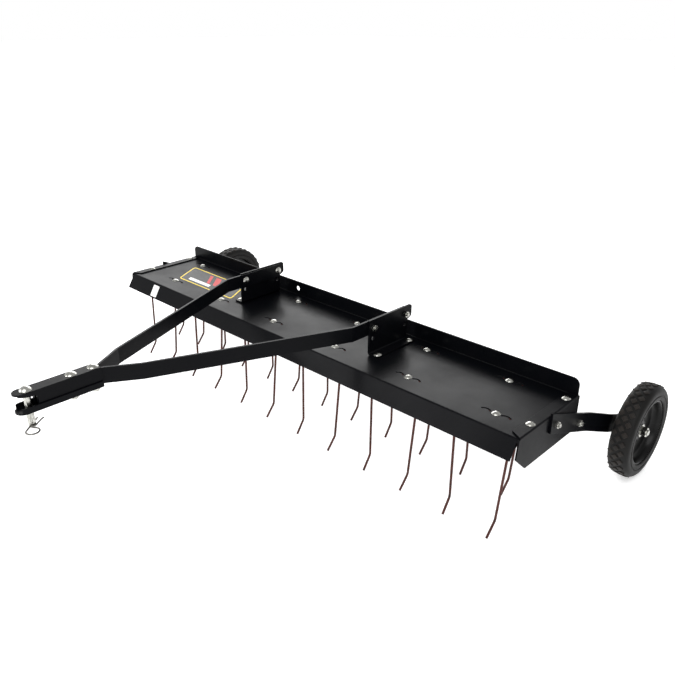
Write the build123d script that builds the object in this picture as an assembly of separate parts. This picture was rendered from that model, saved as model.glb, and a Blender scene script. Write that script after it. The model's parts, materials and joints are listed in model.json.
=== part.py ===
from build123d import *
import os
from math import cos, radians, sin, tan

# Tow-behind lawn dethatcher, all sizes in millimetres.
# The model is laid out in a deck frame: X along the tray, Y rearwards from the front fold,
# Z up from the top face of the tray. Everything is then lifted into the part's own frame,
# whose origin is on the ground, midway along the machine's length and width.

# ---- driving dimensions ----
# Tray
tray_length = 1226.8
tray_depth = 211.0
tray_gauge = 2.5
fold_radius = 3.0
front_lip_reach = 21.5          # how far forward the sloping front lip comes
front_lip_drop = 35.5
front_lip_inset = 2.0           # the lip is this much shorter than the tray at each end
rear_lip_height = 35.5
rear_lip_corner = 14.0
lift_hole_spacing = 320.0       # two holes in the rear lip
lift_hole_diameter = 12.7
lift_hole_height = 17.0

# Spring tines, two staggered rows of double tines
tines_per_row = 6
tine_pitch = 203.2
row_stagger = 50.8
pattern_shift = 4.6             # the whole pattern sits a little to the right
front_row_y = 47.8
rear_row_y = 175.6
wire_diameter = 5.0
loop_corner = 10.0
coil_mean_radius = 18.5
coil_turns = 3
coil_turn_pitch = 4.8
coil_ahead = 23.8               # coil axis ahead of the clamping bolt
prong_top_spacing = 114.2       # between the two prongs of a tine at the coils
prong_kink_spacing = 100.4
prong_tip_spacing = 97.6
kink_ahead = 9.2                # kink ahead of the front of the coil
kink_drop = 181.0               # below the top of the tray
tip_drop = 209.5
tip_ahead = 30.7
kink_radius = 14.0
slot_reach = 21.0               # middle of each locating slot from its bolt
slot_radius = 11.0
slot_width = 4.2
slot_arc = 120.0

# End plates
end_gauge = 3.0
end_flange_width = 24.0
end_mitre = 13.6
end_depth = 70.5
end_front_reach = 7.0
end_front_drop = 38.0
end_toe = 28.0
end_bolt_first = 54.0
end_bolt_second = 182.0
end_bolt_inset = 10.0           # bolts in from the tray's end

# Drawbar brackets
bracket_gauge = 4.0
bracket_outer_x = 214.0
bracket_flange_width = 24.0
bracket_front = 66.0
bracket_rear = 190.0
bracket_height = 78.5
bracket_ear = 15.0              # rear ear overhangs the plate by this much
bracket_ear_drop = 33.0
bracket_ear_rise = 6.0          # its lower edge slopes up by this much
bracket_ear_corner = 7.0
bracket_base_bolt_out = 15.5    # base bolts outboard of the plate's outer face
bolt_pair_spacing = 104.8
bracket_bolt_first = 78.0
base_bolt_first = 76.0
height_hole_pitch = 24.0

# Drawbars
bar_height = 31.75
bar_gauge = 4.76
bar_center_z = 60.5
bar_gap = 10.0                  # between the two bars inside the tongue
bar_front_end = -545.0
bar_splay_start = -424.0
bar_splay_end = (45.0, -364.0)
bar_rear_bend = 22.0
bar_rear_end = 188.0
bar_bend_radius = 14.0

# Tongue
tongue_gauge = 3.0
tongue_rear = -428.0
tongue_pin_y = -559.0
tongue_nose = -582.0
tongue_cheek_depth = 9.0        # depth of the cheeks left beside the pin
cradle_wall = 8.0               # upstand of the lower cradle above its floor
tongue_bolt_first = -478.5
tongue_bolt_pitch = 41.3
pin_diameter = 12.7
pin_head_diameter = 22.0
pin_head_height = 7.0
pin_tail = 33.6                 # below the cradle floor
clip_wire = 3.2
clip_eye = 11.0                 # mean radius of its round eye
clip_reach = 22.0               # legs past the middle of the pin
clip_neck = 6.0                 # between the eye and the pin
clip_flare = 2.5
clip_hole_from_end = 5.5
clip_turn = 133.0               # direction in which the clip's legs point, from +X

# Wheel arms
arm_width = 38.0
arm_gauge = 4.76
arm_slope = 21.8
arm_bolt_y = 115.0
arm_bolt_drop = 16.4            # first arm bolt below the top of the tray
arm_axle_y = 391.5
arm_nose_y = 100.0
arm_stub = 40.0                 # bar left ahead of its first bolt before the nose is trimmed
arm_joggle = 14.4
joggle_start = 156.0            # along the arm from its first bolt
joggle_length = 80.0
joggle_radius = 60.0

# Wheels
wheel_diameter = 203.2
wheel_width = 44.45
wheel_offset = 38.6             # mid wheel outboard of the arm's outer face
shoulder_radius = 11.0
rim_radius = 71.0
rim_lip = 8.0
bead_inset = 3.0                # the tyre narrows by this much over its bead
bead_height = 6.0
rim_width = 37.0
disc_thickness = 4.0
disc_setback = 2.0              # inboard of mid wheel
hub_radius = 17.0
hub_inner = 28.5                # hub ends, inboard and outboard of mid wheel
hub_outer = 5.0
bush_radius = 10.0
rib_count = 6
rib_thickness = 3.0
axle_diameter = 12.7

# Fasteners: diameter, head or flats, height
tine_bolt = 7.94
tine_head = 18.0
tine_head_height = 4.2
frame_bolt = 7.94
frame_head = 18.0
frame_head_height = 4.2
tongue_bolt = 9.5
tongue_head = 21.0
tongue_head_height = 5.0
small_nut_flats = 12.7
small_nut_height = 6.6
large_nut_flats = 14.3
large_nut_height = 8.0
axle_flats = 19.0
axle_head_height = 8.0
axle_nut_height = 11.0
jam_nut_height = 8.0
washer_thickness = 2.0
axle_washer_diameter = 28.0
clamp_washer_diameter = 26.0

# Clearances
hole_clearance = 0.4            # bolt holes over bolt diameter
nut_clearance = 0.1             # nut bores over bolt diameter
running_clearance = 0.05        # radial, wheel bush on axle and hitch pin in its holes
seat_gap = 0.1                  # radial or face gap between sheet parts that nest
coil_gap = 0.3                  # fixed tine loop to turning coil
thread_stand = 3.0              # bolt end past its nut

# ---- values that follow ----
wire_radius = wire_diameter / 2
wire_z = -tray_gauge - wire_radius - seat_gap
coil_z = wire_z - coil_mean_radius - coil_gap
web_inner_x = tray_length / 2 + seat_gap
web_outer_x = web_inner_x + end_gauge
bar_x_rear = bracket_outer_x - bracket_gauge - bar_gauge / 2
bar_x_front = (bar_gap + bar_gauge) / 2
bar_top = bar_center_z + bar_height / 2
bar_bottom = bar_center_z - bar_height / 2
cheek_inner_x = bar_x_front + bar_gauge / 2 + seat_gap
cheek_outer_x = cheek_inner_x + tongue_gauge
cradle_inner_x = cheek_outer_x + seat_gap
cradle_outer_x = cradle_inner_x + tongue_gauge
tongue_top = bar_top + tongue_gauge
cradle_floor = bar_bottom - tongue_gauge
pin_end = cradle_floor - pin_tail
clip_z = pin_end + clip_hole_from_end
wheel_radius = wheel_diameter / 2
slope = radians(arm_slope)
# The arm's middle line ends on the axle, and the wheel's size then sets the ground.
arm_first_z = -arm_bolt_drop
arm_axle_u = (arm_axle_y - arm_bolt_y) / cos(slope)
axle_z = arm_first_z - (arm_axle_y - arm_bolt_y) * tan(slope)
ground_height = wheel_radius - axle_z
arm_outer_front = web_outer_x + arm_gauge
arm_outer_rear = arm_outer_front + arm_joggle
wheel_x = arm_outer_rear + wheel_offset
bracket_bolt_rows = (bar_center_z, bar_center_z - height_hole_pitch)

part_front = tongue_nose


def along_arm(u, v=0.0):
    """Side-view place of a point u along the arm from its first bolt and v above its middle."""
    return (arm_bolt_y + u * cos(slope) + v * sin(slope),
            arm_first_z - u * sin(slope) + v * cos(slope))


part_rear = arm_axle_y + wheel_radius
lift = Location((0, -(part_front + part_rear) / 2, ground_height))

os.makedirs("parts", exist_ok=True)


def write(name, *solids):
    """Writes one node, moved from the deck frame into the part's own frame."""
    solids = [s for item in solids for s in item.solids()]
    moved = [lift * s for s in solids]
    shape = moved[0] if len(moved) == 1 else Compound(children=moved)
    shape.label = name
    export_step(shape, f"parts/{name}.step")


# ---- fasteners ----
def rod(radius, z_low, z_high):
    return Pos(0, 0, (z_low + z_high) / 2) * Cylinder(radius, z_high - z_low)


def dome(diameter, height):
    """A shallow dome with its flat face at z = 0."""
    r = diameter / 2
    ball = (r * r + height * height) / (2 * height)
    outline = make_face(Polyline((0, 0), (r, 0)) + RadiusArc((r, 0), (0, height), -ball)
                        + Line((0, height), (0, 0)))
    return revolve(Plane.XZ * outline, Axis.Z)


def coach_bolt(diameter, length, head, head_height):
    """Dome-headed bolt, head seated on z = 0 and shank downwards."""
    return dome(head, head_height) + rod(diameter / 2, -length, 0)


def hexagon(flats, height, bore=0.0):
    """A hexagon with its lower face at z = 0 and its corners eased."""
    body = extrude(RegularPolygon(flats / 2, 6, major_radius=False), height)
    cone = revolve(Plane.XZ * Polygon((0, 0), (flats * 0.5, 0), (flats * 0.58, flats * 0.06),
                                      (flats * 0.58, height - flats * 0.06),
                                      (flats * 0.5, height), (0, height), align=None), Axis.Z)
    body = body & cone
    return body - rod(bore / 2, -1, height + 1) if bore else body


def washer(outer, bore, thickness):
    return rod(outer / 2, 0, thickness) - rod(bore / 2, -1, thickness + 1)


def down(x, y, z):
    """Fastener place with its head up."""
    return Pos(x, y, z)


def outboard(side, x, y, z):
    """Place whose local +Z points away from the machine's middle."""
    return Pos(side * x, y, z) * Rot(0, side * 90, 0)


def inboard(side, x, y, z):
    return Pos(side * x, y, z) * Rot(0, -side * 90, 0)


# ---- patterns ----
def row_places(y, stagger):
    first = -(tines_per_row - 1) / 2
    return [((first + i) * tine_pitch + stagger + pattern_shift, y) for i in range(tines_per_row)]


front_row = row_places(front_row_y, row_stagger / 2)
rear_row = row_places(rear_row_y, -row_stagger / 2)
tine_places = front_row + rear_row
end_bolt_x = tray_length / 2 - end_bolt_inset
end_places = [(side * end_bolt_x, y) for side in (-1, 1) for y in (end_bolt_first, end_bolt_second)]
base_bolt_x = bracket_outer_x + bracket_base_bolt_out
base_places = [(side * base_bolt_x, base_bolt_first + dy)
               for side in (-1, 1) for dy in (0, bolt_pair_spacing)]
bar_bolt_y = (bracket_bolt_first, bracket_bolt_first + bolt_pair_spacing)
tongue_bolt_y = (tongue_bolt_first, tongue_bolt_first + tongue_bolt_pitch)
arm_bolt_u = (0.0, bolt_pair_spacing)


def locating_slot(x, y):
    """Curved slot through the tray beside a tine bolt, opening forwards."""
    start = 90 - slot_arc / 2
    arc = CenterArc((x, y - slot_radius), slot_radius, start, slot_arc)
    return extrude(Pos(0, 0, -tray_gauge * 2) * trace(arc, slot_width), tray_gauge * 3)


# ---- tray ----
def folded(points, radius, gauge):
    """Cross-section of a folded sheet about its middle line."""
    return trace(FilletPolyline(*points, radius=radius), gauge)


def tray():
    half = tray_gauge / 2
    section = folded([(-front_lip_reach + half, -front_lip_drop), (half, -half),
                      (tray_depth - half, -half), (tray_depth - half, rear_lip_height)],
                     fold_radius, tray_gauge)
    body = extrude(Plane.YZ * section, tray_length / 2, both=True)
    corners = body.edges().filter_by(Axis.Y).group_by(Axis.Z)[-1]
    body = fillet(corners, rear_lip_corner)
    for side in (-1, 1):
        body -= Pos(side * tray_length / 2, -front_lip_reach, -front_lip_drop) * Box(
            2 * front_lip_inset, 2 * front_lip_reach, 2 * (front_lip_drop - 2 * fold_radius))
    cuts = []
    for x, y in tine_places:
        cuts.append(Pos(x, y) * rod((tine_bolt + hole_clearance) / 2, -2 * tray_gauge, tray_gauge))
        for side in (-1, 1):
            cuts.append(locating_slot(x + side * slot_reach, y + slot_width))
    for x, y in end_places + base_places:
        cuts.append(Pos(x, y) * rod((frame_bolt + hole_clearance) / 2, -2 * tray_gauge, tray_gauge))
    for side in (-1, 1):
        cuts.append(Pos(side * lift_hole_spacing / 2, tray_depth, lift_hole_height)
                    * Rot(90, 0, 0) * Cylinder(lift_hole_diameter / 2, 4 * tray_gauge))
    for cut in cuts:
        body -= cut
    return body


# ---- end plates ----
def end_plate(side):
    half = end_gauge / 2
    section = folded([(web_outer_x - end_flange_width, half), (web_outer_x - half, half),
                      (web_outer_x - half, -end_depth)], half + seat_gap / 2, end_gauge)
    sheet = extrude(Plane.XZ * section, tray_depth, both=True)
    web = extrude(Plane.YZ * Polygon((-2, 2 * end_gauge), (-end_front_reach, -end_front_drop),
                                     (end_toe, -end_depth), (tray_depth, -end_depth),
                                     (tray_depth, 2 * end_gauge), align=None), web_outer_x + 1,
                  both=True)
    sheet = sheet & web
    mitre = extrude(Polygon((web_outer_x, -end_depth), (web_outer_x, 0),
                            (web_outer_x - end_flange_width - 1, end_mitre),
                            (web_outer_x - end_flange_width - 1, -end_depth), align=None),
                    3 * end_gauge)
    clear_lip = Pos(web_inner_x - end_flange_width, tray_depth, end_gauge) * Box(
        2 * end_flange_width, 2 * (tray_gauge + fold_radius + 1), 3 * end_gauge)
    sheet = sheet - mitre - clear_lip
    for x, y in end_places[2:]:
        sheet -= Pos(x, y) * rod((frame_bolt + hole_clearance) / 2, -1, 2 * end_gauge)
    for u in arm_bolt_u:
        y, z = along_arm(u)
        sheet -= outboard(1, web_inner_x, y, z) * rod((frame_bolt + hole_clearance) / 2, -2,
                                                      end_gauge + 2)
    return sheet if side > 0 else mirror(sheet, Plane.YZ)


# ---- drawbar brackets ----
def bracket(side):
    half = bracket_gauge / 2
    middle_x = bracket_outer_x - half
    section = folded([(bracket_outer_x + bracket_flange_width, half), (middle_x, half),
                      (middle_x, bracket_height)], fold_radius + half, bracket_gauge)
    sheet = extrude(Plane.XZ * section, 2 * bracket_rear, both=True)
    ear_low = bracket_height - bracket_ear_drop
    outline = Polygon((bracket_front, 0), (bracket_front, bracket_height),
                      (bracket_rear + bracket_ear, bracket_height),
                      (bracket_rear + bracket_ear, ear_low + bracket_ear_rise),
                      (bracket_rear, ear_low), (bracket_rear, 0), align=None)
    outline = fillet(outline.vertices().group_by(Axis.X)[-1], bracket_ear_corner)
    sheet = sheet & extrude(Plane.YZ * outline, 2 * bracket_outer_x, both=True)
    for y in bar_bolt_y:
        for z in bracket_bolt_rows:
            sheet -= outboard(1, middle_x, y, z) * rod((frame_bolt + hole_clearance) / 2,
                                                       -bracket_gauge, bracket_gauge)
    for x, y in base_places[2:]:
        sheet -= Pos(x, y) * rod((frame_bolt + hole_clearance) / 2, -1, 2 * bracket_gauge)
    return sheet if side > 0 else mirror(sheet, Plane.YZ)


# ---- drawbars ----
def drawbar(side):
    path = FilletPolyline((bar_x_front, bar_front_end), (bar_x_front, bar_splay_start),
                          bar_splay_end, (bar_x_rear, bar_rear_bend),
                          (bar_x_rear, bar_rear_end), radius=bar_bend_radius)
    bar = Pos(0, 0, bar_bottom) * extrude(trace(path, bar_gauge), bar_height)
    for y in bar_bolt_y:
        bar -= outboard(1, bar_x_rear, y, bar_center_z) * rod(
            (frame_bolt + hole_clearance) / 2, -bar_gauge, bar_gauge)
    return bar if side > 0 else mirror(bar, Plane.YZ)


# ---- tongue ----
def nose_plan(half_width):
    """Plan of a strip with a round nose, running back to the tongue's rear end."""
    centre = tongue_nose + half_width
    strip = Pos(0, (centre + tongue_rear) / 2) * Rectangle(2 * half_width, tongue_rear - centre)
    return strip + Pos(0, centre) * Circle(half_width)


def tongue_holes(body):
    body -= Pos(0, tongue_pin_y) * rod(pin_diameter / 2 + running_clearance,
                                       cradle_floor - 5, tongue_top + 5)
    for y in tongue_bolt_y:
        body -= Pos(0, y) * rod((tongue_bolt + hole_clearance) / 2, cradle_floor - 5,
                                tongue_top + 5)
    return body


def tongue():
    plan = nose_plan(cheek_outer_x)
    low = bar_bottom + seat_gap
    body = Pos(0, 0, low) * extrude(plan, tongue_top - low)
    hollow = Pos(0, 0, low - 1) * extrude(Pos(0, (tongue_nose + tongue_rear) / 2) * Rectangle(
        2 * cheek_inner_x, 2 * (tongue_rear - tongue_nose)), bar_top - low + 1)
    body -= hollow
    cheek_low = tongue_top - tongue_cheek_depth
    step = extrude(Plane.YZ * Polygon((tongue_nose - 1, low - 1),
                                      (tongue_nose - 1, bar_top - 0.5),
                                      (tongue_pin_y, cheek_low), (bar_front_end - 4, cheek_low),
                                      (bar_front_end, cheek_low - 4), (bar_front_end, low - 1),
                                      align=None), 2 * cheek_outer_x, both=True)
    return tongue_holes(body - step)


def cradle():
    plan = nose_plan(cradle_outer_x)
    body = Pos(0, 0, cradle_floor) * extrude(plan, tongue_gauge + cradle_wall)
    hollow = Pos(0, 0, bar_bottom) * extrude(
        Pos(0, (tongue_nose + tongue_rear) / 2) * Rectangle(
            2 * cradle_inner_x, 2 * (tongue_rear - tongue_nose)), cradle_wall + 1)
    nose_cut = Pos(0, tongue_nose, bar_bottom + cradle_wall) * Box(
        4 * cradle_outer_x, 2 * tongue_gauge, 2 * cradle_wall)
    return tongue_holes(body - hollow - nose_cut)


def hitch_pin():
    pin = Pos(0, 0, tongue_top) * dome(pin_head_diameter, pin_head_height)
    pin += rod(pin_diameter / 2, pin_end, tongue_top)
    pin = chamfer(pin.edges().group_by(Axis.Z)[0], 1.0)
    hole = Pos(0, 0, clip_z) * Rot(0, 0, clip_turn) * Rot(0, 90, 0) * Cylinder(
        clip_wire / 2 + seat_gap, 2 * pin_diameter)
    return Pos(0, tongue_pin_y) * (pin - hole)


def hairpin_clip():
    """Spring clip: one straight leg through the pin, one leg bowed round it, a round eye."""
    around = pin_diameter / 2 + clip_wire / 2 + 2 * seat_gap
    eye_x = -pin_diameter / 2 - clip_eye - clip_neck
    straight = Line((clip_reach, 0), (eye_x, 0))
    ring = CenterArc((eye_x, clip_eye), clip_eye, -90, -270)
    bow = CenterArc((0, 0), around, 160, -70)
    waist = Spline(ring @ 1, bow @ 0, tangents=[(0, -1), bow % 0])
    flare = Spline(bow @ 1, (clip_reach, around + clip_flare), tangents=[(1, 0), (1, 0.3)])
    body = Part()
    for edge in (straight, ring, waist, bow, flare):
        start = Plane(edge @ 0, z_dir=edge % 0)
        body += sweep(start * Circle(clip_wire / 2), path=edge)
    body = mirror(body, Plane.XZ)
    return Pos(0, tongue_pin_y, clip_z) * Rot(0, 0, clip_turn) * body


# ---- wheel arms ----
def arm(side):
    tail = arm_axle_u + arm_width / 2
    inner = web_outer_x + arm_gauge / 2
    outer = inner + arm_joggle
    path = FilletPolyline((inner, -arm_stub), (inner, joggle_start), (outer, joggle_start + joggle_length),
                          (outer, tail), radius=joggle_radius)
    flat = Pos(0, 0, -arm_width / 2) * extrude(trace(path, arm_gauge), arm_width)
    keep = outboard(1, outer, arm_axle_u, 0) * rod(arm_width / 2, -2 * arm_joggle, 2 * arm_joggle)
    corner = Pos(outer, arm_axle_u + arm_width / 2, 0) * Box(2 * arm_joggle, arm_width, 2 * arm_width)
    flat = flat - (corner - keep)
    flat -= outboard(1, outer, arm_axle_u, 0) * rod((axle_diameter + hole_clearance) / 2,
                                                    -arm_gauge, arm_gauge)
    for u in arm_bolt_u:
        flat -= outboard(1, inner, u, 0) * rod((frame_bolt + hole_clearance) / 2,
                                               -arm_gauge, arm_gauge)
    placed = Pos(0, arm_bolt_y, arm_first_z) * Rot(-arm_slope, 0, 0) * flat
    front_cut = Pos(inner, arm_nose_y - 50, arm_first_z) * Box(4 * arm_gauge, 100, 200)
    placed = placed - front_cut
    return placed if side > 0 else mirror(placed, Plane.YZ)


# ---- wheels ----
def turned(points_or_face):
    """A shape of revolution about the axle from a half-section drawn as (across, radius)."""
    return revolve(Plane.XY * points_or_face, Axis.X)


def tyre():
    half = wheel_width / 2
    bead = rim_radius + bead_height
    outline = Polygon((-half + bead_inset, rim_radius), (-half, bead), (-half, wheel_radius),
                      (half, wheel_radius), (half, bead), (half - bead_inset, rim_radius),
                      align=None)
    shoulders = outline.vertices().filter_by(lambda v: v.Y > wheel_radius - 1)
    return turned(fillet(shoulders, shoulder_radius))


def rim():
    half = rim_width / 2
    band = Pos(0, rim_radius - rim_lip / 2) * Rectangle(rim_width, rim_lip)
    disc_radius = rim_radius - rim_lip / 2
    disc = Pos(-disc_setback, disc_radius / 2) * Rectangle(disc_thickness, disc_radius)
    boss = Pos((hub_outer - hub_inner) / 2, hub_radius / 2) * Rectangle(hub_outer + hub_inner,
                                                                        hub_radius)
    body = turned(band + disc + boss)
    for k in range(rib_count):
        rib = Pos((-half - disc_setback) / 2, 0, (hub_radius + rim_radius - rim_lip) / 2) * Box(
            half - disc_thickness, rib_thickness, rim_radius - rim_lip - hub_radius + rim_lip / 2)
        body += Rot(k * 360 / rib_count, 0, 0) * rib
    bore = Pos((hub_outer - hub_inner) / 2, 0, 0) * Rot(0, 90, 0) * Cylinder(
        bush_radius, 2 * (hub_outer + hub_inner))
    return body - bore


def bush():
    length = hub_outer + hub_inner
    tube = Cylinder(bush_radius, length) - Cylinder(axle_diameter / 2 + running_clearance, 2 * length)
    return Pos((hub_outer - hub_inner) / 2, 0, 0) * Rot(0, 90, 0) * tube


def on_axle(side, shape):
    placed = Pos(wheel_x, arm_axle_y, axle_z) * shape
    return placed if side > 0 else mirror(placed, Plane.YZ)


def axle_bolt(side):
    """Hexagon bolt from the inner face of the arm, out through the wheel."""
    head_x = arm_outer_rear - arm_gauge
    end_x = wheel_x + hub_outer + washer_thickness + axle_nut_height + thread_stand
    shank = rod(axle_diameter / 2, 0, end_x - head_x)
    shank = chamfer(shank.edges().group_by(Axis.Z)[-1], 1.0)
    bolt = shank + Pos(0, 0, -axle_head_height) * hexagon(axle_flats, axle_head_height)
    return outboard(side, head_x, arm_axle_y, axle_z) * bolt


def axle_stack(side, kind):
    """Jam nut, washers and lock nut threaded on an axle bolt."""
    gap = wheel_x - hub_inner - arm_outer_rear
    jam = outboard(side, arm_outer_rear, arm_axle_y, axle_z) * hexagon(
        axle_flats, jam_nut_height, axle_diameter + nut_clearance)
    inner = outboard(side, arm_outer_rear + jam_nut_height, arm_axle_y, axle_z) * washer(
        axle_washer_diameter, axle_diameter + hole_clearance, gap - jam_nut_height - seat_gap)
    outer = outboard(side, wheel_x + hub_outer + seat_gap, arm_axle_y, axle_z) * washer(
        axle_washer_diameter, axle_diameter + hole_clearance, washer_thickness - seat_gap)
    lock = outboard(side, wheel_x + hub_outer + washer_thickness, arm_axle_y, axle_z) * hexagon(
        axle_flats, axle_nut_height, axle_diameter + nut_clearance)
    return {"jam": jam, "inner": inner, "outer": outer, "lock": lock}[kind]


# ---- tines ----
def coil_span():
    """Distances from the bolt of the innermost and outermost turns of a coil."""
    outer = prong_top_spacing / 2
    return outer - (coil_turns - 1) * coil_turn_pitch, outer


def prong(side):
    """Coil and leg of one prong about the tine's own bolt, with the kinked tip forwards."""
    inner, outer = coil_span()
    turns = Sketch() + [Pos(inner + k * coil_turn_pitch, coil_mean_radius) * Circle(wire_radius)
                        for k in range(coil_turns)]
    coil = Pos(0, -coil_ahead, coil_z) * revolve(Plane.XY * turns, Axis.X)
    front = -coil_ahead - coil_mean_radius
    path = FilletPolyline((outer, front, coil_z),
                          (prong_kink_spacing / 2, front - kink_ahead, -kink_drop),
                          (prong_tip_spacing / 2, front - tip_ahead, -tip_drop), radius=kink_radius)
    leg = sweep(Plane(path @ 0, z_dir=path % 0) * Circle(wire_radius), path=path)
    body = coil + leg
    return body if side > 0 else mirror(body, Plane.YZ)


def tine(x, y):
    return [Pos(x, y) * prong(side) for side in (-1, 1)]


def tine_loop(x, y):
    """Fixed middle of a tine: a staple of wire behind the bolt, ending beside each coil."""
    inner, _ = coil_span()
    leg_x = inner - wire_diameter - coil_gap
    behind = tine_bolt / 2 + wire_radius + coil_gap
    path = FilletPolyline((-leg_x, -coil_ahead, wire_z), (-leg_x, behind, wire_z),
                          (leg_x, behind, wire_z), (leg_x, -coil_ahead, wire_z), radius=loop_corner)
    body = sweep(Plane(path @ 0, z_dir=path % 0) * Circle(wire_radius), path=path)
    return Pos(x, y) * body


clamp_z = wire_z - wire_radius
tine_bolt_length = -clamp_z + washer_thickness + small_nut_height + thread_stand


# ---- write the nodes ----
write("tray", tray())
for side, hand in ((-1, "left"), (1, "right")):
    write(f"end_plate_{hand}", end_plate(side))
    write(f"drawbar_bracket_{hand}", bracket(side))
    write(f"drawbar_{hand}", drawbar(side))
    write(f"wheel_arm_{hand}", arm(side))
    write(f"axle_bolt_{hand}", axle_bolt(side))
    write(f"tyre_{hand}", on_axle(side, tyre()))
    write(f"wheel_rim_{hand}", on_axle(side, rim()))
    write(f"wheel_bush_{hand}", on_axle(side, bush()))
write("tongue_channel", tongue())
write("tongue_cradle", cradle())
write("hitch_pin", hitch_pin())
write("hairpin_clip", hairpin_clip())
for k, (x, y) in enumerate(front_row):
    write(f"tine_front_{k + 1}", *tine(x, y))
for k, (x, y) in enumerate(rear_row):
    write(f"tine_rear_{k + 1}", *tine(x, y))
write("tine_loops_front", *[tine_loop(x, y) for x, y in front_row])
write("tine_loops_rear", *[tine_loop(x, y) for x, y in rear_row])

write("tine_bolts", *[down(x, y, 0) * coach_bolt(tine_bolt, tine_bolt_length, tine_head,
                                                 tine_head_height) for x, y in tine_places])
write("tine_clamp_washers", *[down(x, y, clamp_z - washer_thickness)
                              * washer(clamp_washer_diameter, tine_bolt + hole_clearance,
                                       washer_thickness) for x, y in tine_places])
write("tine_nuts", *[down(x, y, clamp_z - washer_thickness - small_nut_height)
                     * hexagon(small_nut_flats, small_nut_height, tine_bolt + nut_clearance)
                     for x, y in tine_places])


def deck_bolts(places, sheet):
    """Bolts down through a sheet that lies on the tray, and their nuts under the tray."""
    length = sheet + tray_gauge + small_nut_height + thread_stand
    bolts = [down(x, y, sheet) * coach_bolt(frame_bolt, length, frame_head, frame_head_height)
             for x, y in places]
    nuts = [down(x, y, -tray_gauge - small_nut_height)
            * hexagon(small_nut_flats, small_nut_height, frame_bolt + nut_clearance)
            for x, y in places]
    return bolts, nuts


bolts, nuts = deck_bolts(end_places, end_gauge)
write("end_plate_bolts", *bolts)
write("end_plate_nuts", *nuts)
bolts, nuts = deck_bolts(base_places, bracket_gauge)
write("bracket_base_bolts", *bolts)
write("bracket_base_nuts", *nuts)


def side_bolts(side, head_x, stack, places):
    """Bolts with their heads towards the machine's middle and nuts outboard."""
    length = stack + small_nut_height + thread_stand
    bolts = [inboard(side, head_x, y, z) * coach_bolt(frame_bolt, length, frame_head,
                                                      frame_head_height) for y, z in places]
    nuts = [outboard(side, head_x + stack, y, z)
            * hexagon(small_nut_flats, small_nut_height, frame_bolt + nut_clearance)
            for y, z in places]
    return bolts, nuts


bar_places = [(y, bar_center_z) for y in bar_bolt_y]
arm_places = [along_arm(u) for u in arm_bolt_u]
pivot_bolts, pivot_nuts, arm_bolts, arm_nuts = [], [], [], []
for side in (-1, 1):
    bolts, nuts = side_bolts(side, bar_x_rear - bar_gauge / 2, bar_gauge + bracket_gauge, bar_places)
    pivot_bolts += bolts
    pivot_nuts += nuts
    bolts, nuts = side_bolts(side, web_inner_x, end_gauge + arm_gauge, arm_places)
    arm_bolts += bolts
    arm_nuts += nuts
write("drawbar_bolts", *pivot_bolts)
write("drawbar_nuts", *pivot_nuts)
write("arm_bolts", *arm_bolts)
write("arm_nuts", *arm_nuts)

tongue_stack = tongue_top - cradle_floor
write("tongue_bolts", *[down(0, y, tongue_top)
                        * coach_bolt(tongue_bolt, tongue_stack + large_nut_height + thread_stand,
                                     tongue_head, tongue_head_height) for y in tongue_bolt_y])
write("tongue_nuts", *[down(0, y, cradle_floor - large_nut_height)
                       * hexagon(large_nut_flats, large_nut_height, tongue_bolt + nut_clearance)
                       for y in tongue_bolt_y])
write("axle_washers", *[axle_stack(side, kind) for side in (-1, 1) for kind in ("inner", "outer")])
write("axle_jam_nuts", *[axle_stack(side, "jam") for side in (-1, 1)])
write("axle_lock_nuts", *[axle_stack(side, "lock") for side in (-1, 1)])
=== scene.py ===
import json
from math import asin, atan, cos, pi, radians, sin

import bpy
from mathutils import Euler, Matrix, Vector


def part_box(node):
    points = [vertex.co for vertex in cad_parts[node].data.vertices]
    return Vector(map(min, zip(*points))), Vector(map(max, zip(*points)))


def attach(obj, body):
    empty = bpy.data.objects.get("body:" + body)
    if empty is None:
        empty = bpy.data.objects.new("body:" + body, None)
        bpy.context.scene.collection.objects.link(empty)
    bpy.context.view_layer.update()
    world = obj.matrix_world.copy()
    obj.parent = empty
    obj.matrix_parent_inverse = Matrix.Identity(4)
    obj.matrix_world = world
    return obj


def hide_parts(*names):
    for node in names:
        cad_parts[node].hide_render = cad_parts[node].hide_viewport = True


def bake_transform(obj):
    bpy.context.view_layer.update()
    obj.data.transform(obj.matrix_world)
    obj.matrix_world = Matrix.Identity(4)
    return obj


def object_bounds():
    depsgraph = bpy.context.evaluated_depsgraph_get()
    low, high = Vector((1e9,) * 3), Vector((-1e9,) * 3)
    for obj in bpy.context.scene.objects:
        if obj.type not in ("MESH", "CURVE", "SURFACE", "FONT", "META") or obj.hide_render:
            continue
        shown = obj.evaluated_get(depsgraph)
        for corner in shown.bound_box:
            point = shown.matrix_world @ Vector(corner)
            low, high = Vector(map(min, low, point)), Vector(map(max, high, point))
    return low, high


# Tow-behind lawn dethatcher: black powder-coated tray, zinc bolts, oil-tempered spring tines.
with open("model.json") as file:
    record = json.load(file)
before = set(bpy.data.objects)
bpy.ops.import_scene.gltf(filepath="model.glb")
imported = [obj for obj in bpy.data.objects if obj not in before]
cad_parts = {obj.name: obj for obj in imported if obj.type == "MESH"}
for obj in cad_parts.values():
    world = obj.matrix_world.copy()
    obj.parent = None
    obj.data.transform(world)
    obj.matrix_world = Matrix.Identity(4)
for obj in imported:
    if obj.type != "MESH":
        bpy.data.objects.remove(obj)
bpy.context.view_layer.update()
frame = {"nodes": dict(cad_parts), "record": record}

MM = 0.001


# ---- small tools for modelling ----
def box(node):
    low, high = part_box(node)
    return Vector(low), Vector(high)


def joint(name):
    """A joint of the record, by name."""
    return next(j for j in frame["record"]["behaviour"]["joints"] if j["name"] == name)


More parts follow.
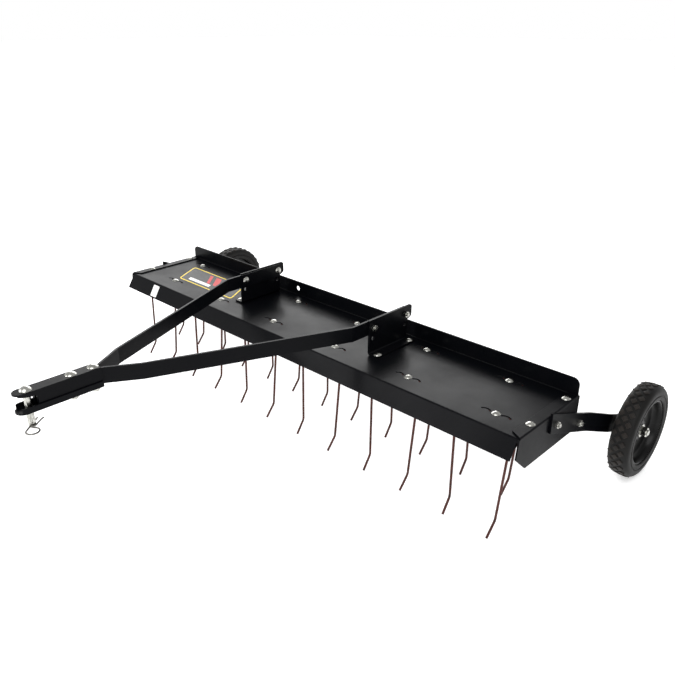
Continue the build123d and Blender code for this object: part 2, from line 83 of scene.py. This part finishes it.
def fresh():
    """Leaves edit mode and deselects everything, ready for a new primitive."""
    if bpy.context.object and bpy.context.object.mode != "OBJECT":
        bpy.ops.object.mode_set(mode="OBJECT")
    bpy.ops.object.select_all(action="DESELECT")


def settle(name, material):
    """Names the active object, puts its place into its mesh and gives it one material."""
    obj = bpy.context.object
    if obj.mode != "OBJECT":
        bpy.ops.object.mode_set(mode="OBJECT")
    obj.name = name
    bpy.ops.object.transform_apply(location=True, rotation=True, scale=True)
    obj.data.materials.clear()
    obj.data.materials.append(material)
    return obj


def choose(test):
    """Selects the faces of the active mesh that pass a test, and stays in edit mode."""
    obj = bpy.context.object
    bpy.ops.object.mode_set(mode="EDIT")
    bpy.ops.mesh.select_mode(type="FACE")
    bpy.ops.mesh.select_all(action="DESELECT")
    bpy.ops.object.mode_set(mode="OBJECT")
    for face in obj.data.polygons:
        face.select = test(face)
    bpy.ops.object.mode_set(mode="EDIT")


def copy_of(obj, name):
    twin = obj.copy()
    twin.data = obj.data.copy()
    twin.name = name
    bpy.context.collection.objects.link(twin)
    return twin


def mirrored(obj, name):
    """A copy of a finished piece on the other side of the machine, faces turned outwards."""
    twin = copy_of(obj, name)
    fresh()
    bpy.context.view_layer.objects.active = twin
    twin.select_set(True)
    twin.scale = (-1, 1, 1)
    bpy.ops.object.transform_apply(location=False, rotation=False, scale=True)
    bpy.ops.object.mode_set(mode="EDIT")
    bpy.ops.mesh.select_all(action="SELECT")
    bpy.ops.mesh.normals_make_consistent(inside=False)
    bpy.ops.object.mode_set(mode="OBJECT")
    return twin


def joined(pieces, name):
    fresh()
    for piece in pieces:
        piece.select_set(True)
    bpy.context.view_layer.objects.active = pieces[0]
    bpy.ops.object.join()
    pieces[0].name = name
    return pieces[0]


# ---- materials ----
def linear(hex_colour):
    """An sRGB hex colour as linear RGBA."""
    parts = [int(hex_colour[i:i + 2], 16) / 255 for i in (1, 3, 5)]
    return [c / 12.92 if c <= 0.04045 else ((c + 0.055) / 1.055) ** 2.4 for c in parts] + [1.0]


def add(tree, kind, links=(), **settings):
    """Adds one node: settings go to its sockets or properties, links are (socket, output)."""
    node = tree.nodes.new("ShaderNode" + kind)
    for key, value in settings.items():
        name = key.replace("_", " ")
        if name in node.inputs:
            node.inputs[name].default_value = value
        else:
            setattr(node, key, value)
    for socket, output in links:
        tree.links.new(output, node.inputs[socket])
    return node


def finish_named(name, **sockets):
    """A material with its principled shader's plain sockets set."""
    made = bpy.data.materials.new(name)
    made.use_nodes = True
    shader = made.node_tree.nodes["Principled BSDF"]
    for key, value in sockets.items():
        shader.inputs[key.replace("_", " ")].default_value = value
    return made, made.node_tree, shader


def ramp(tree, factor, stops):
    """A colour ramp over a factor, from (position, hex or grey) stops."""
    node = add(tree, "ValToRGB", links=[("Fac", factor)])
    elements = node.color_ramp.elements
    for spare, (place, colour) in enumerate(stops):
        element = elements[spare] if spare < 2 else elements.new(place)
        element.position = place
        grey = isinstance(colour, float)
        element.color = (colour, colour, colour, 1) if grey else linear(colour)
    return node.outputs["Color"]


def noise(tree, coordinates, grain_mm, detail=3.0, roughness=0.5):
    node = add(tree, "TexNoise", links=[("Vector", coordinates)], Scale=1 / (grain_mm * MM),
               Detail=detail, Roughness=roughness)
    return node.outputs["Fac"]


def powder_coat(name, colour, faded, coat):
    """Gloss polyester powder baked on steel: deep black, a faint orange peel, dusty where worn."""
    made, tree, shader = finish_named(name, Roughness=0.36, IOR=1.5, Specular_IOR_Level=0.06,
                                      Coat_Weight=coat, Coat_Roughness=0.12)
    place = add(tree, "TexCoord").outputs["Object"]
    dust = noise(tree, place, 70, detail=5.0, roughness=0.6)
    speck = noise(tree, place, 2.2, detail=2.0)
    tint = ramp(tree, dust, [(0.35, colour), (0.75, faded)])
    tree.links.new(tint, shader.inputs["Base Color"])
    rough = ramp(tree, dust, [(0.3, 0.30), (0.8, 0.46)])
    tree.links.new(rough, shader.inputs["Roughness"])
    # Orange peel is about 2 mm across; it is drawn with a few hundredths of relief.
    peel = add(tree, "Bump", links=[("Height", speck)], Strength=0.12, Distance=0.05 * MM)
    # Pressed and cut edges are eased by the coat, about 0.8 mm.
    edge = add(tree, "Bevel", links=[("Normal", peel.outputs["Normal"])], samples=4, Radius=0.8 * MM)
    tree.links.new(edge.outputs["Normal"], shader.inputs["Normal"])
    return made


def zinc_plate(name, light, dark, rough_low, rough_high):
    """Zinc plating over steel: bright, slightly warm metal with cloudy passivation."""
    made, tree, shader = finish_named(name, Metallic=1.0)
    place = add(tree, "TexCoord").outputs["Object"]
    cloud = noise(tree, place, 5, detail=4.0, roughness=0.65)
    grit = noise(tree, place, 0.8, detail=2.0)
    tree.links.new(ramp(tree, cloud, [(0.3, light), (0.72, dark)]), shader.inputs["Base Color"])
    tree.links.new(ramp(tree, cloud, [(0.3, rough_low), (0.75, rough_high)]),
                   shader.inputs["Roughness"])
    bump = add(tree, "Bump", links=[("Height", grit)], Strength=0.2, Distance=0.04 * MM)
    edge = add(tree, "Bevel", links=[("Normal", bump.outputs["Normal"])], samples=4, Radius=0.5 * MM)
    tree.links.new(edge.outputs["Normal"], shader.inputs["Normal"])
    return made


def spring_steel(name):
    """Oil-tempered spring wire: a brown-black scale with redder patches, drawn along the wire."""
    made, tree, shader = finish_named(name, Metallic=0.55)
    place = add(tree, "TexCoord").outputs["Object"]
    scale = noise(tree, place, 9, detail=5.0, roughness=0.7)
    fine = noise(tree, place, 1.2, detail=2.0)
    tree.links.new(ramp(tree, scale, [(0.32, "#241210"), (0.55, "#4a221b"), (0.75, "#2b1a18")]),
                   shader.inputs["Base Color"])
    tree.links.new(ramp(tree, fine, [(0.3, 0.30), (0.75, 0.48)]), shader.inputs["Roughness"])
    bump = add(tree, "Bump", links=[("Height", fine)], Strength=0.25, Distance=0.06 * MM)
    tree.links.new(bump.outputs["Normal"], shader.inputs["Normal"])
    return made


def moulded_plastic(name, colour, faded, rough_low, rough_high, grain_mm, relief_mm):
    """Moulded tyre or wheel material: matt black with a fine mould texture and pale scuffs."""
    made, tree, shader = finish_named(name, IOR=1.5, Specular_IOR_Level=0.2)
    place = add(tree, "TexCoord").outputs["Object"]
    scuff = noise(tree, place, 35, detail=6.0, roughness=0.65)
    grain = noise(tree, place, grain_mm, detail=3.0)
    tree.links.new(ramp(tree, scuff, [(0.4, colour), (0.78, faded)]), shader.inputs["Base Color"])
    tree.links.new(ramp(tree, scuff, [(0.3, rough_low), (0.75, rough_high)]),
                   shader.inputs["Roughness"])
    bump = add(tree, "Bump", links=[("Height", grain)], Strength=0.3, Distance=relief_mm * MM)
    tree.links.new(bump.outputs["Normal"], shader.inputs["Normal"])
    return made


def printed_vinyl(name, colour, sheen_mm=1.5):
    """Laminated vinyl sticker: flat ink under a smooth clear film with a little ripple."""
    made, tree, shader = finish_named(name, Base_Color=linear(colour), Roughness=0.4,
                                      Specular_IOR_Level=0.15, Coat_Weight=0.05,
                                      Coat_Roughness=0.15)
    place = add(tree, "TexCoord").outputs["Object"]
    film = noise(tree, place, 6, detail=2.0)
    ink = noise(tree, place, sheen_mm, detail=2.0)
    tree.links.new(ramp(tree, ink, [(0.3, 0.36), (0.7, 0.46)]), shader.inputs["Roughness"])
    bump = add(tree, "Bump", links=[("Height", film)], Strength=0.1, Distance=0.05 * MM)
    tree.links.new(bump.outputs["Normal"], shader.inputs["Normal"])
    return made


coat = powder_coat("gloss_black_powder_coat", "#050609", "#09090c", 0.03)
zinc = zinc_plate("zinc_plated_steel", "#d2d2cc", "#8f8e88", 0.16, 0.34)
clip_steel = zinc_plate("bright_spring_clip", "#8a8884", "#565452", 0.2, 0.4)
wire_finish = spring_steel("oil_tempered_wire")
tyre_finish = moulded_plastic("tyre_compound", "#080808", "#141210", 0.5, 0.65, 1.2, 0.12)
tread_finish = moulded_plastic("tread_block_compound", "#1a1715", "#2b2622", 0.5, 0.62, 1.2, 0.12)
disc_finish = moulded_plastic("moulded_wheel_disc", "#070707", "#10100f", 0.26, 0.4, 1.6, 0.08)
bush_finish = moulded_plastic("nylon_bush", "#b9b4a6", "#9d988a", 0.4, 0.55, 1.0, 0.05)
ink_black = printed_vinyl("decal_black", "#0a0a0b")
ink_yellow = printed_vinyl("decal_yellow", "#f2d21b")
ink_red = printed_vinyl("decal_red", "#c4161c")
label_white = printed_vinyl("label_white", "#f4f4f2")

PLATED = ("bolt", "nut", "washer", "hitch_pin")
for node, obj in frame["nodes"].items():
    if node == "hairpin_clip":
        kind = clip_steel
    elif any(word in node for word in PLATED):
        kind = zinc
    elif node.startswith("tine"):
        kind = wire_finish
    elif node.startswith("tyre"):
        kind = tyre_finish
    elif node.startswith("wheel_rim"):
        kind = disc_finish
    elif node.startswith("wheel_bush"):
        kind = bush_finish
    else:
        kind = coat
    obj.data.materials.clear()
    obj.data.materials.append(kind)

# ---- spring tines ----
WIRE = 5.0 * MM
COIL_TURNS = 2.25
TURN_STEPS = 22
COIL_SPREAD = 9.6 * MM  # the turns of a coil lie side by side over this length
COIL_GAP = 0.3 * MM  # from the clamped loop to its coil
LOOP_CORNER = 10 * MM
KINK = (50.2 * MM, 9.2 * MM, 47.6 * MM)  # across from the bolt, ahead of the coil, above ground
TIP_REACH = (48.8 * MM, 30.7 * MM)  # across and ahead
TIP_RISE = 0.9 * MM  # end of the wire above the lowest point of its rounded end


def tine_path(side, coil):
    """Centre line of half a tine: clamped loop, coil, leg and forward tip, as points."""
    radius, leg_x, outer_x, axis = coil["radius"], coil["inner"], coil["outer"], coil["axis"]
    top = axis.z + radius
    points = [Vector((axis.x, coil["behind"], top))]
    for k in range(9):
        turn = k / 8 * pi / 2
        points.append(Vector((axis.x + side * (leg_x - LOOP_CORNER * (1 - sin(turn))),
                              coil["behind"] - LOOP_CORNER * (1 - cos(turn)), top)))
    steps = round(COIL_TURNS * TURN_STEPS)
    for k in range(steps + 1):
        turn = 2 * pi * COIL_TURNS * k / steps
        along = leg_x + (outer_x - leg_x) * k / steps
        points.append(Vector((axis.x + side * along, axis.y - radius * sin(turn),
                              axis.z + radius * cos(turn))))
    start = points[-1]
    kink_at = Vector((axis.x + side * KINK[0], start.y - KINK[1], KINK[2]))
    tip_at = Vector((axis.x + side * TIP_REACH[0], start.y - TIP_REACH[1], coil["tip_z"]))
    leave = (start - kink_at).normalized()
    reach = (tip_at - kink_at).normalized()
    bend = 5 * MM
    points += [start.lerp(kink_at, f) for f in (0.25, 0.5, 0.75)]
    for f in range(7):
        t = f / 6
        a, b = kink_at + leave * bend, kink_at + reach * bend
        points.append((1 - t) ** 2 * a + 2 * t * (1 - t) * kink_at + t * t * b)
    points.append(tip_at)
    return points


def drawn_wire(name, points, diameter, material):
    """A round wire along a path, made from a path curve and turned into a closed mesh."""
    fresh()
    bpy.ops.curve.primitive_nurbs_path_add()
    curve = bpy.context.object
    curve.data.splines.clear()
    line = curve.data.splines.new("POLY")
    line.points.add(len(points) - 1)
    for knot, point in zip(line.points, points):
        knot.co = (*point, 1)
    curve.data.bevel_depth = diameter / 2
    curve.data.bevel_resolution = 3
    curve.data.use_fill_caps = True
    bpy.ops.object.convert(target="MESH")
    wire = settle(name, material)
    bpy.ops.object.shade_smooth_by_angle(angle=radians(50))
    return wire


def make_tines():
    for row in ("front", "rear"):
        behind = box(f"tine_loops_{row}")[1].y - WIRE / 2
        for k in range(1, 7):
            node = f"tine_{row}_{k}"
            low, high = box(node)
            hinge = Vector(joint(node + "_flex")["pos_m"])
            radius = (high.z - hinge.z) - WIRE / 2
            half = (high.x - low.x) / 2 - WIRE / 2
            inner = half - COIL_SPREAD - WIRE - COIL_GAP
            coil = {"radius": radius, "inner": inner, "outer": half, "axis": hinge,
                    "behind": behind, "tip_z": low.z + TIP_RISE}
            for side, hand in ((-1, "left"), (1, "right")):
                wire = drawn_wire(f"spring_tine_{row}_{k}_{hand}", tine_path(side, coil), WIRE,
                                  wire_finish)
                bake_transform(wire)
                if side < 0:
                    nodes = [node] + ([f"tine_loops_{row}"] if k == 1 else [])
                    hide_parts(*nodes)


make_tines()


# ---- wheels ----
WHEEL_SIDES = 96
TREAD_DEPTH = 2.3 * MM
TREAD_ROWS = 30
TREAD_COLUMNS = (-13.5 * MM, -3.0 * MM, 7.5 * MM)
BLOCK = 9.9 * MM
SHOULDER = 11 * MM
RIM_WIDTH = 37 * MM
RIBS = 6
RIB = (10 * MM, 3 * MM)  # across the wheel and thick


def stepped(obj_side, steps):
    """Insets an end face of the active drum again and again: (inset, shift outwards) in mm."""
    choose(lambda face: face.normal.x * obj_side > 0.99 and len(face.vertices) > 8)
    for inset, shift in steps:
        bpy.ops.mesh.inset(thickness=inset * MM, use_even_offset=True)
        bpy.ops.transform.translate(value=(obj_side * shift * MM, 0, 0))


def make_wheel():
    """The right wheel: tyre with its block tread, and the moulded disc with ribs inside."""
    low, high = box("tyre_right")
    centre = Vector(joint("wheel_right_spin")["pos_m"])
    radius = (high.z - low.z) / 2
    width = high.x - low.x
    hole = box("wheel_rim_right")[1].z - centre.z
    body_radius = radius - TREAD_DEPTH
    fresh()
    bpy.ops.mesh.primitive_cylinder_add(vertices=WHEEL_SIDES, radius=body_radius, depth=width,
                                        end_fill_type="NGON", location=centre,
                                        rotation=(0, pi / 2, 0))
    bpy.ops.object.transform_apply(location=False, rotation=True, scale=False)
    tyre = bpy.context.object
    bpy.ops.object.mode_set(mode="EDIT")
    bpy.ops.mesh.select_mode(type="EDGE")
    bpy.ops.mesh.select_all(action="DESELECT")
    bpy.ops.object.mode_set(mode="OBJECT")
    for edge in tyre.data.edges:
        ends = [tyre.data.vertices[i].co for i in edge.vertices]
        edge.select = abs(ends[0].x - ends[1].x) < 1e-6
    bpy.ops.object.mode_set(mode="EDIT")
    bpy.ops.mesh.bevel(offset=SHOULDER, segments=6, affect="EDGES")
    bpy.ops.object.mode_set(mode="OBJECT")
    wall = (body_radius - SHOULDER - hole) / MM
    lip = [(wall * 0.3, 0), (1.2, -1.6), (1.6, 0), (1.2, 1.6), (wall * 0.3, 0), (1.4, -0.4)]
    rest = wall - sum(inset for inset, _ in lip)
    for end in (-1, 1):
        stepped(end, lip + [(rest, -1.5)])
        bpy.ops.mesh.delete(type="FACE")
        bpy.ops.object.mode_set(mode="OBJECT")
    bpy.ops.object.mode_set(mode="EDIT")
    bpy.ops.mesh.select_mode(type="EDGE")
    bpy.ops.mesh.select_all(action="SELECT")
    bpy.ops.mesh.region_to_loop()
    bpy.ops.mesh.bridge_edge_loops()
    bpy.ops.mesh.select_all(action="SELECT")
    bpy.ops.mesh.normals_make_consistent(inside=False)
    bpy.ops.object.mode_set(mode="OBJECT")
    tyre = settle("tyre_body", tyre_finish)
    bpy.ops.object.shade_smooth_by_angle(angle=radians(40))
    blocks = [tyre]
    fresh()
    bpy.ops.mesh.primitive_cube_add(size=1, scale=(BLOCK, BLOCK, 2 * TREAD_DEPTH),
                                    rotation=(0, 0, radians(45)))
    block = bpy.context.object
    bpy.ops.object.transform_apply(location=True, rotation=True, scale=True)
    bpy.ops.object.mode_set(mode="EDIT")
    bpy.ops.mesh.select_all(action="SELECT")
    bpy.ops.mesh.bevel(offset=0.9 * MM, segments=2, affect="EDGES")
    bpy.ops.object.mode_set(mode="OBJECT")
    bpy.ops.object.shade_smooth_by_angle(angle=radians(40))
    block = settle("tread_block", tread_finish)
    flat = width / 2 - SHOULDER
    for column, across in enumerate(TREAD_COLUMNS):
        # Past the flat of the tread a block leans over with the round of the shoulder.
        lean = asin(max(abs(across) - flat, 0) / SHOULDER)
        seat = Euler((0, lean if across > 0 else -lean, 0)).to_matrix().to_4x4()
        # A flat, leaning block sinks a little so that its corners stay inside the tyre's size.
        drop = SHOULDER * (1 - cos(lean)) + BLOCK * 0.65 * sin(lean) + 0.35 * MM
        for row in range(TREAD_ROWS):
            turn = 2 * pi * (row + column % 2 / 2) / TREAD_ROWS
            spin = Euler((turn, 0, 0)).to_matrix().to_4x4()
            out = Matrix.Translation((across, 0, radius - TREAD_DEPTH - drop))
            twin = copy_of(block, "tread")
            twin.matrix_world = Matrix.Translation(centre) @ spin @ out @ seat
            blocks.append(twin)
    bpy.data.objects.remove(block)
    fresh()
    for piece in blocks:
        piece.select_set(True)
    bpy.context.view_layer.objects.active = tyre
    bpy.ops.object.transform_apply(location=True, rotation=True, scale=True)
    tyre = joined(blocks, "block_tread_tyre_right")

    # The disc: a dished moulding, deep on the outer side, ribbed on the inner side.
    fresh()
    bpy.ops.mesh.primitive_cylinder_add(vertices=WHEEL_SIDES, radius=hole - 0.05 * MM,
                                        depth=RIM_WIDTH, end_fill_type="NGON",
                                        location=centre, rotation=(0, pi / 2, 0))
    bpy.ops.object.transform_apply(location=False, rotation=True, scale=False)
    stepped(1, [(1.0, 0.6), (2.2, 0.4), (1.2, -1.4), (1.6, -8.0), (1.4, -5.0), (2.2, -3.0),
                (3.0, -1.4), (4.0, -0.5), (26.0, 0.8), (3.0, 0.2), (2.0, 0.8), (1.5, 2.0),
                (1.0, 0.4), (6.5, 0.0)])
    bpy.ops.object.mode_set(mode="OBJECT")
    stepped(-1, [(1.5, 0.0), (2.5, -9.0), (1.5, -3.0), (3.0, -1.2), (38.0, 0.0), (2.0, 1.0),
                 (1.5, 20.5), (2.0, 0.8), (6.0, 0.0)])
    bpy.ops.object.mode_set(mode="OBJECT")
    disc = settle("disc_body", disc_finish)
    bpy.ops.object.shade_smooth_by_angle(angle=radians(35))
    parts = [disc]
    rib_outer, rib_inner = hole - 6 * MM, 15 * MM
    for k in range(RIBS):
        fresh()
        bpy.ops.mesh.primitive_cube_add(size=1, scale=(*RIB, rib_outer - rib_inner),
                                        location=(centre.x - 9 * MM, 0, (rib_outer + rib_inner) / 2))
        rib = bpy.context.object
        bpy.ops.object.mode_set(mode="EDIT")
        bpy.ops.mesh.select_all(action="SELECT")
        bpy.ops.mesh.bevel(offset=0.8 * MM, segments=2, affect="EDGES")
        bpy.ops.object.mode_set(mode="OBJECT")
        bpy.ops.object.transform_apply(location=True, rotation=True, scale=True)
        rib.rotation_euler = (2 * pi * k / RIBS, 0, 0)
        rib.location = (0, centre.y, centre.z)
        parts.append(settle("rib", disc_finish))
    disc = joined(parts, "wheel_disc_right")
    return tyre, disc


tyre_right, disc_right = make_wheel()
tyre_left = mirrored(tyre_right, "block_tread_tyre_left")
disc_left = mirrored(disc_right, "wheel_disc_left")
for hand, tyre, disc in (("right", tyre_right, disc_right), ("left", tyre_left, disc_left)):
    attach(tyre, f"wheel_{hand}")
    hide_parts(f"tyre_{hand}")
    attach(disc, f"wheel_{hand}")
    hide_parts(f"wheel_rim_{hand}")

# ---- stickers ----
END_PLATE_DEPTH, TRAY_DEPTH = 70.5 * MM, 211 * MM
DECK_TOP = box("end_plate_left")[0].z + END_PLATE_DEPTH
FRONT_FOLD = box("tray")[1].y - TRAY_DEPTH


def sticker(name, centre, width, depth, lean, corner, thickness, material, tilt=0.0):
    """A thin sticker with rounded corners, leaning sideways, lying flat or tilted about X."""
    fresh()
    bpy.ops.mesh.primitive_cube_add(size=1, scale=(width, depth, thickness))
    obj = bpy.context.object
    bpy.ops.object.transform_apply(location=False, rotation=False, scale=True)
    for vertex in obj.data.vertices:
        vertex.co.x -= lean * vertex.co.y
    bpy.ops.object.mode_set(mode="EDIT")
    bpy.ops.mesh.select_mode(type="EDGE")
    bpy.ops.mesh.select_all(action="DESELECT")
    bpy.ops.object.mode_set(mode="OBJECT")
    for edge in obj.data.edges:
        ends = [obj.data.vertices[i].co for i in edge.vertices]
        edge.select = abs(ends[0].z - ends[1].z) > thickness / 2
    bpy.ops.object.mode_set(mode="EDIT")
    bpy.ops.mesh.bevel(offset=corner, segments=5, affect="EDGES")
    bpy.ops.object.mode_set(mode="OBJECT")
    obj.location = centre
    obj.rotation_euler = (tilt, 0, 0)
    obj = settle(name, material)
    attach(obj, "frame")
    return obj


DECAL_X, DECAL_Y = -397 * MM, FRONT_FOLD + 109 * MM
LEAN = 0.55
FILM = 0.15 * MM
layer = Vector((DECAL_X, DECAL_Y, DECK_TOP + FILM / 2))
up = Vector((0, 0, 0.08 * MM))
sticker("decal_border", layer, 230 * MM, 84 * MM, LEAN, 9 * MM, FILM, ink_yellow)
sticker("decal_field", layer + up, 221 * MM, 76.5 * MM, LEAN, 6 * MM, FILM, ink_black)
sticker("decal_stroke_1", layer + 2 * up + Vector((14 * MM, 8 * MM, 0)), 22 * MM, 44 * MM, 0.9,
        3 * MM, FILM, ink_red)
sticker("decal_stroke_2", layer + 2 * up + Vector((-18 * MM, 8 * MM, 0)), 12 * MM, 44 * MM, 0.9,
        2 * MM, FILM, ink_red)
sticker("decal_bar", layer + 2 * up + Vector((-24 * MM, -23 * MM, 0)), 92 * MM, 13 * MM, LEAN,
        1.5 * MM, FILM, label_white)
LIP_TILT = atan(35.5 / 21.5)  # the lip drops 35.5 mm over 21.5 mm forwards
sticker("maker_label", Vector((-490 * MM, FRONT_FOLD - 11.5 * MM, DECK_TOP - 18 * MM)), 26 * MM,
        31 * MM, 0.0, 2 * MM, 0.2 * MM, label_white, tilt=LIP_TILT)

# ---- floor, light and camera ----
fresh()
bpy.ops.mesh.primitive_plane_add(size=80, location=(0, 0, min(0.0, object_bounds()[0][2])))
floor = bpy.context.object
floor.name = "studio_floor"
paper, paper_tree, paper_shader = finish_named("white_studio_paper", Roughness=0.9,
                                               Emission_Color=(1, 1, 1, 1),
                                               Emission_Strength=0.42)
paper_grain = noise(paper_tree, add(paper_tree, "TexCoord").outputs["Object"], 400, detail=2.0)
paper_tree.links.new(ramp(paper_tree, paper_grain, [(0.2, "#fbfbfb"), (0.8, "#ffffff")]),
                     paper_shader.inputs["Base Color"])
floor.data.materials.append(paper)

world = bpy.data.worlds.new("studio")
bpy.context.scene.world = world
world.use_nodes = True
sky = world.node_tree.nodes["Background"]
# White round the horizon and dimmer overhead, like a studio cove.
height = add(world.node_tree, "SeparateXYZ",
             links=[("Vector", add(world.node_tree, "TexCoord").outputs["Generated"])])
cove = ramp(world.node_tree, height.outputs["Z"], [(0.1, 1.0), (0.45, 0.6), (1.0, 0.5)])
world.node_tree.links.new(cove, sky.inputs["Color"])
sky.inputs["Strength"].default_value = 1.0


def softbox(name, place, aim, width, height, power):
    fresh()
    bpy.ops.object.light_add(type="AREA", location=place)
    lamp = bpy.context.object
    lamp.name = name
    lamp.data.shape = "RECTANGLE"
    lamp.data.size = width
    lamp.data.size_y = height
    lamp.data.energy = power
    lamp.rotation_euler = (Vector(aim) - Vector(place)).to_track_quat("-Z", "Y").to_euler()


softbox("key", (1.2, -2.4, 3.4), (0, 0, 0.1), 3.0, 3.0, 90)
softbox("rear_fill", (-2.7, 2.4, 2.2), (0, 0, 0.1), 4.0, 1.9, 105)
softbox("front_fill", (-1.9, -2.8, 1.6), (0, 0, 0.1), 1.6, 1.2, 30)

fresh()
bpy.ops.object.camera_add(location=(1.0957, -0.88665, 0.8697),
                          rotation=(radians(65.73), 0, radians(44.34)))
camera = bpy.context.object
camera.name = "camera"
camera.data.lens = 37.27
camera.data.sensor_width = 36.0
bpy.context.scene.camera = camera
bpy.context.scene.view_settings.view_transform = "Standard"
